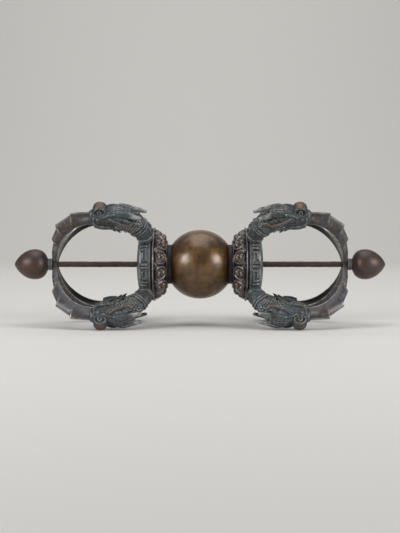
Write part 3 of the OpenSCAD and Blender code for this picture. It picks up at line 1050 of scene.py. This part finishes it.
    def _chasing(self, cast: Array) -> Array:
        """Height of the chased scales and scutes on the neck and of the hair behind the eyes.

        Args:
            cast: points of the casting.

        Returns:
            Height in millimetres at each point.
        """
        rows = flow(self.neck_keys(), 120)
        path = rows[:, :3]
        length = np.concatenate([[0], np.cumsum(np.linalg.norm(np.diff(path, axis=0), axis=1))])
        tangent = unit_rows(np.gradient(path, axis=0))
        blocks = np.array_split(cast, 12)
        near = np.concatenate([((b[:, None] - path[None]) ** 2).sum(-1).argmin(1) for b in blocks])
        away = cast - path[near]
        run = length[near] + (away * tangent[near]).sum(1)
        up = -away[:, 0] * tangent[near, 2] + away[:, 2] * tangent[near, 0]
        turn = np.arctan2(away[:, 1], up)
        snug = np.hypot(up / rows[near, 3], away[:, 1] / rows[near, 4])
        neck = (1 - eased(snug, 1.06, 1.2)) * eased(run, 10.4, 11.0) * (1 - eased(run, 19.0, 21.5))
        row = np.floor(run / self.scale_mm)
        fore = run / self.scale_mm - row
        girth = np.abs(turn) * self.neck_r / self.scale_mm + 0.5 * (row % 2)
        aside = np.abs(girth - np.floor(girth) - 0.5) * 2
        scale = self.scale_h * (0.64 - eased(np.hypot(fore * 0.9, aside), 0.62, 1.0))
        belly = eased(np.abs(turn), 2.25, 2.5)
        scute = 0.4 * np.abs(np.sin(np.pi * run / self.scute_mm)) - 0.2
        back = self.layout.mouth_x - cast[:, 0]
        maned = eased(back, 8.4, 9.4) * (1 - eased(back, 17.6, 19.0)) * eased(snug, 1.04, 1.16)
        maned *= 1 - eased(np.abs(away[:, 1]), 2.3, 3.0)
        curl = 0.65 + 0.35 * np.cos(2 * np.pi * back / self.curl_mm)
        hair = self.hair_h * curl * np.sin(2 * np.pi * (np.abs(away[:, 1]) + 0.8 * up) / self.hair_mm)
        return neck * (scale * (1 - belly) + scute * belly) + maned * hair


@dataclass
class Prong(Casting):
    """Curved prong in sheaths that each end in a thorn, with a raised border along its inner face.

    Its places along the arc are degrees from the tip, and a thorn is such a place with its extra thickness.
    """

    piece: str = "thorned"
    node: str = "prong"
    slot: str = "prong_bronze"
    crease: float = 40.0
    wear_h: float = 0.15
    wear_rounds: int = 14
    half_w: float = 2.2
    tip_half_w: float = 1.22
    tip_t: float = 2.2
    tip_deg: float = 8.0
    root_deg: float = 95.0
    drop: float = 1.25
    drop_deg: float = 1.6
    swell_deg: float = 14.0
    slant: float = 7.0
    thorns: tuple[tuple[float, float], ...] = ((70.0, 1.7), (50.0, 0.7), (33.0, -1.5))
    ring_degs: tuple[float, ...] = (21.0, 24.0, 27.0)
    ring_breadth: float = 0.8
    arc_rows: int = 240

    def _edge(self, angle: Array | float) -> tuple[Array, Array]:
        """Point on the inner edge and outward normal at each angle of the arc.

        Args:
            angle: degrees from the tip, 90 at the mouth.

        Returns:
            Rows of x and radius, and rows of the unit normal.
        """
        lay = self.layout
        reach = lay.tip_inner_x - lay.mouth_x
        c, s = np.cos(np.radians(angle)), np.sin(np.radians(angle))
        inner = np.stack([lay.mouth_x + reach * c, lay.cage_r * s], -1)
        return inner, unit_rows(np.stack([c / reach, s / lay.cage_r], -1))

    def _back(self, angle: Array) -> Array:
        """Outer edge of the prong: straight from thorn to thorn, with a drop behind each.

        Args:
            angle: degrees from the tip.

        Returns:
            Rows of x and radius.
        """
        full = self.layout.prong_t
        stops = [(0.0, self.tip_t), (self.tip_deg, self.tip_t), (2 * self.tip_deg, self.tip_t + 0.3)]
        for at, more in reversed(self.thorns):
            stops += [(at - self.drop_deg, full + more - self.drop), (at, full + more)]
        stops += [(90.0, full - 0.2), (100.0, full - 0.2)]
        turn, thick = np.array(stops).T
        inner, normal = self._edge(turn)
        points = inner + normal * thick[:, None]
        return np.stack([np.interp(angle, turn, points[:, 0]), np.interp(angle, turn, points[:, 1])], -1)

    def shaped(self) -> bpy.types.Mesh:
        """Lofts the prong for the right end.

        Returns:
            Mesh in millimetres.
        """
        last = math.degrees(math.asin((self.layout.rod_r + 3 * FIT) / self.layout.cage_r))
        angle = np.linspace(self.root_deg, last, self.arc_rows)[:, None]
        # Half of the section, as shares of its depth and half width, from the inner face to the back
        side = [
            (0.06, 0.0), (0.05, 0.35), (0.03, 0.60), (0.0, 0.70), (0.0, 0.82), (0.04, 0.92), (0.10, 0.92),
            (0.16, 0.97), (0.28, 1.0), (0.42, 0.98), (0.56, 0.91), (0.69, 0.79), (0.80, 0.64), (0.89, 0.46),
            (0.96, 0.28), (1.0, 0.13)]
        outline = np.array([(u, -w) for u, w in side[1:]][::-1] + side + [(1.0, 0.0)])
        u, w = outline[None, :, 0], outline[None, :, 1]
        thorn = angle - self.slant * (u - 1) * eased(u, 0.1, 0.4)
        swell = np.zeros_like(thorn)
        for at, _ in self.thorns:
            swell += eased(thorn, at - self.drop_deg, at) * (1 - eased(thorn, at, at + self.swell_deg))
        rings = sum(bump(angle, at, self.ring_breadth) for at in self.ring_degs)
        width = np.interp(angle, [0, 45, 90], [self.tip_half_w, self.half_w, self.half_w])
        inner, normal = self._edge(angle)
        lag = np.clip(thorn, last, self.root_deg)
        thick = ((self._back(lag) - self._edge(lag)[0]) * self._edge(lag)[1]).sum(-1)
        low = [self.tip_t] + [self.layout.prong_t + more - self.drop for _, more in reversed(self.thorns)]
        even = np.interp(angle, [self.tip_deg] + [at - self.drop_deg for at, _ in reversed(self.thorns)], low)
        depth = u * even + eased(u, 0.5, 1.0) * (thick - even) + 0.15 * rings * u
        y = w * width * (1 + 0.04 * swell * eased(u, 0.5, 0.9) + 0.10 * rings)
        spot = inner + normal * depth[..., None]
        mesh = mesh_of("prong_cast", skin(np.stack([spot[..., 0], y, spot[..., 1]], -1)))
        mark_relief(mesh, self.wear_h, self.wear_rounds)
        return mesh


@dataclass
class Finial:
    """Bluntly pointed bud on the rod's end, with the small collar that gathers the prong tips.

    Flare, widest, shoulder and taper are shares of the bud's length, and slim is one of its radius.
    """

    layout: Layout
    seat: float = 7.55
    foot_inset: float = 0.3
    flare: float = 0.05
    widest: float = 0.4
    shoulder: float = 0.66
    taper: float = 0.9
    slim: float = 0.56
    point_r: float = 0.45
    pole_r: float = 0.02
    around: int = 96
    bud_crease: float = 50.0
    beads: int = 3
    bead_h: float = 0.32
    collar_around: int = 72
    collar_crease: float = 60.0

    def build(self, end: End, bud: bpy.types.Material, grey: bpy.types.Material) -> None:
        """Builds and dresses bud and collar at one end.

        Args:
            end: end of the vajra.
            bud: material of the bud.
            grey: material of the collar.
        """
        lay = self.layout
        long, foot, wide = lay.end_x - lay.finial_x, lay.collar_r - self.foot_inset, lay.bud_r
        flare, mid = self.flare * long, self.widest * long
        low = self._curve([[0, foot], [flare, foot], [flare, wide], [mid, wide]], count=40)
        nose = self._curve([
            [mid, wide], [self.shoulder * long, wide], [self.taper * long, self.slim * wide],
            [long, self.point_r]], count=60)
        inside = [[self.seat, self.pole_r], [self.seat, lay.bore_r], [0, lay.bore_r]]
        profile = np.vstack([inside, low, nose[1:], [[long, self.pole_r]]]) + [lay.finial_x, 0]
        mesh = mesh_of(f"{end.value}_bud_turned", lathe(profile, self.around))
        show(placed(mesh, end), bud, f"{end.value}_finial", self.bud_crease)
        step = np.linspace(0, 1, 31)
        wave = lay.collar_r - self.bead_h + self.bead_h * np.abs(np.sin(self.beads * np.pi * step))
        edge = np.stack([lay.tip_x + step * (lay.collar_x - lay.tip_x), wave], 1)
        outline = np.vstack([[[lay.tip_x, lay.bore_r]], edge, [[lay.collar_x, lay.bore_r]]])
        ring = mesh_of(f"{end.value}_gather_turned", lathe(outline, self.collar_around))
        show(placed(ring, end), grey, f"{end.value}_tip_collar", self.collar_crease)

    def _curve(self, points: Rows, count: int) -> Array:
        """Cubic curve with four control points.

        Args:
            points: control points.
            count: number of rows wanted.

        Returns:
            Rows of x and radius.
        """
        t = np.linspace(0, 1, count)[:, None]
        a, b, c, d = np.array(points)
        return (1 - t) ** 3 * a + 3 * (1 - t) ** 2 * t * b + 3 * (1 - t) * t ** 2 * c + t ** 3 * d


@dataclass
class CoreRod:
    """Plain hand-drawn rod on the axis, slightly uneven along its length."""

    layout: Layout
    uneven: float = 0.05
    rings: int = 240
    around: int = 32
    crease: float = 60.0

    def build(self) -> None:
        """Builds and dresses the rod."""
        x = np.linspace(-self.layout.rod_end, self.layout.rod_end, self.rings)[:, None]
        angle = np.linspace(0, 2 * np.pi, self.around, endpoint=False)[None, :]
        # Three waves of unlike length, so that the unevenness doesn't repeat
        wave = np.sin(0.31 * x + angle + 0.4) + np.sin(0.83 * x + 2 * angle + 1.9) + np.sin(1.7 * x + angle)
        r = self.layout.rod_r - self.uneven + self.uneven * wave / 3
        rings = np.stack([x + 0 * angle, -r * np.sin(angle), r * np.cos(angle)], -1)
        mesh = placed(mesh_of("rod_drawn", skin(rings)), End.RIGHT)
        show(mesh, ROD_IRON.material(), "core_rod", self.crease)


@dataclass
class Fastenings:
    """Seat rings and pins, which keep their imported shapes."""

    pieces: tuple[str, ...] = ("seat_ring", "neck_pins", "mouth_pins")

    def build(self, end: End, finish: bpy.types.Material) -> None:
        """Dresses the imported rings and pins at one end.

        Args:
            end: end of the vajra.
            finish: their material.
        """
        for piece in self.pieces:
            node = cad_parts[f"{end.value}_{piece}"]
            node.data.materials.clear()
            node.data.materials.append(finish)
            LOG.info("%s_%s: packed shape", end.value, piece)


@dataclass
class Studio:
    """Pale seamless paper, soft lamps and the camera of the photograph, in metres.

    Half view is half the width that the camera sees at a distance of one.
    """

    floor_z: float
    paper_half_w: float = 3.0
    paper_front_y: float = -2.5
    paper_top_z: float = 3.0
    sweep_y: float = 0.9
    sweep_r: float = 0.6
    world_level: float = 0.25
    distance: float = 0.45
    rise_deg: float = 2.0
    aim_z: float = -0.0010
    half_view: float = 0.2
    frame_w: int = 400
    frame_h: int = 533

    def build(self) -> None:
        """Builds paper, lamps, surrounding light and camera."""
        self._paper()
        globe = (0.0, 0.0, 0.0)
        self._lamp("lamp_left", (-0.50, -0.38, 0.20), globe, size=0.26, power=0.85, spread=110.0)
        self._lamp("lamp_right", (0.55, -0.34, 0.18), globe, size=0.26, power=0.92, spread=110.0)
        self._lamp("lamp_top", (0.0, -0.10, 0.80), globe, size=0.60, power=2.3)
        self._lamp("lamp_back", (0.0, 0.55, 1.10), (0.0, 1.5, 0.35), size=1.2, power=8.0)
        world = bpy.data.worlds.new("studio")
        world.use_nodes = True
        light = world.node_tree.nodes["Background"]
        light.inputs["Color"].default_value = linear("#e9e8e6")
        light.inputs["Strength"].default_value = self.world_level
        bpy.context.scene.world = world
        bpy.context.scene.view_settings.view_transform = "Standard"
        self._camera()

    def _paper(self) -> None:
        """Lays pale matt paper under the object and sweeps it up behind."""
        turn = np.linspace(0, np.pi / 2, 24)
        r = self.sweep_r
        sweep = [(self.sweep_y + r * math.sin(a), r - r * math.cos(a)) for a in turn]
        line = [(self.paper_front_y, 0.0), *sweep, (self.sweep_y + r, self.paper_top_z)]
        sides = (-self.paper_half_w, self.paper_half_w)
        points = [(x, y, self.floor_z + z) for y, z in line for x in sides]
        mesh = bpy.data.meshes.new("paper")
        mesh.from_pydata(points, [], [(2 * i, 2 * i + 1, 2 * i + 3, 2 * i + 2) for i in range(len(line) - 1)])
        mesh.shade_smooth()
        paper = bpy.data.materials.new("matt_paper")
        paper.use_nodes = True
        shader = paper.node_tree.nodes["Principled BSDF"]
        shader.inputs["Base Color"].default_value = linear("#dedcd8")
        shader.inputs["Roughness"].default_value = 0.9
        mesh.materials.append(paper)
        floor = bpy.data.objects.new("paper", mesh)
        bpy.context.scene.collection.objects.link(floor)
        floor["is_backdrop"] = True

    def _lamp(self, name: str, place: tuple[float, float, float], aim: tuple[float, float, float],
              size: float, power: float, spread: float = 180.0) -> None:
        """Puts up a square soft lamp.

        Args:
            name: name of the lamp.
            place: where it stands, in metres.
            aim: spot that it faces, in metres.
            size: side of its face, in metres.
            power: power in watts.
            spread: angle in degrees over which its light fans out.
        """
        data = bpy.data.lights.new(name, "AREA")
        data.size = size
        data.energy = power
        data.spread = math.radians(spread)
        lamp = bpy.data.objects.new(name, data)
        lamp.location = place
        lamp.rotation_euler = (Vector(aim) - Vector(place)).to_track_quat("-Z", "Y").to_euler()
        bpy.context.scene.collection.objects.link(lamp)

    def _camera(self) -> None:
        """Puts the camera straight in front, a little above the axis; the image's long side sets the lens."""
        data = bpy.data.cameras.new("camera")
        data.sensor_width = 36.0
        data.lens = data.sensor_width / 2 / (self.half_view * self.frame_h / self.frame_w)
        data.clip_start = 0.01
        rise = math.radians(self.rise_deg)
        target = Vector((0.0, 0.0, self.aim_z))
        camera = bpy.data.objects.new("camera", data)
        camera.location = target + self.distance * Vector((0.0, -math.cos(rise), math.sin(rise)))
        camera.rotation_euler = (target - camera.location).to_track_quat("-Z", "Y").to_euler()
        bpy.context.scene.collection.objects.link(camera)
        bpy.context.scene.camera = camera


def main() -> None:
    """Builds the globe, the rod and the pieces of both ends, then the studio."""
    logging.basicConfig(level=logging.INFO, format="%(name)s: %(message)s")
    layout = Layout.from_frame()
    cast, lotus, prong_metal = CAST_BRONZE.material(), LOTUS_BRONZE.material(), PRONG_BRONZE.material()
    bud, grey, dark = FINIAL_BRONZE.material(), COLLAR_BRONZE.material(), SHADE_PAINTED_BRONZE.material()
    CentreGlobe(layout).build()
    CoreRod(layout).build()
    heads, prongs = MakaraHead(layout), Prong(layout)
    for end in End:
        # Seat rings and pins take the nearly black finish of painted shade
        Fastenings().build(end, dark)
        LotusCollar(layout).build(end, lotus)
        FretDrum(layout).build(end, cast)
        Finial(layout).build(end, bud, grey)
        for number in range(1, PLACES + 1):
            heads.build(end, number, cast)
            prongs.build(end, number, prong_metal)
    Studio(floor_z=min(CAD_BOX[0][2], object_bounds()[0][2])).build()


if __name__ == "__main__":
    main()
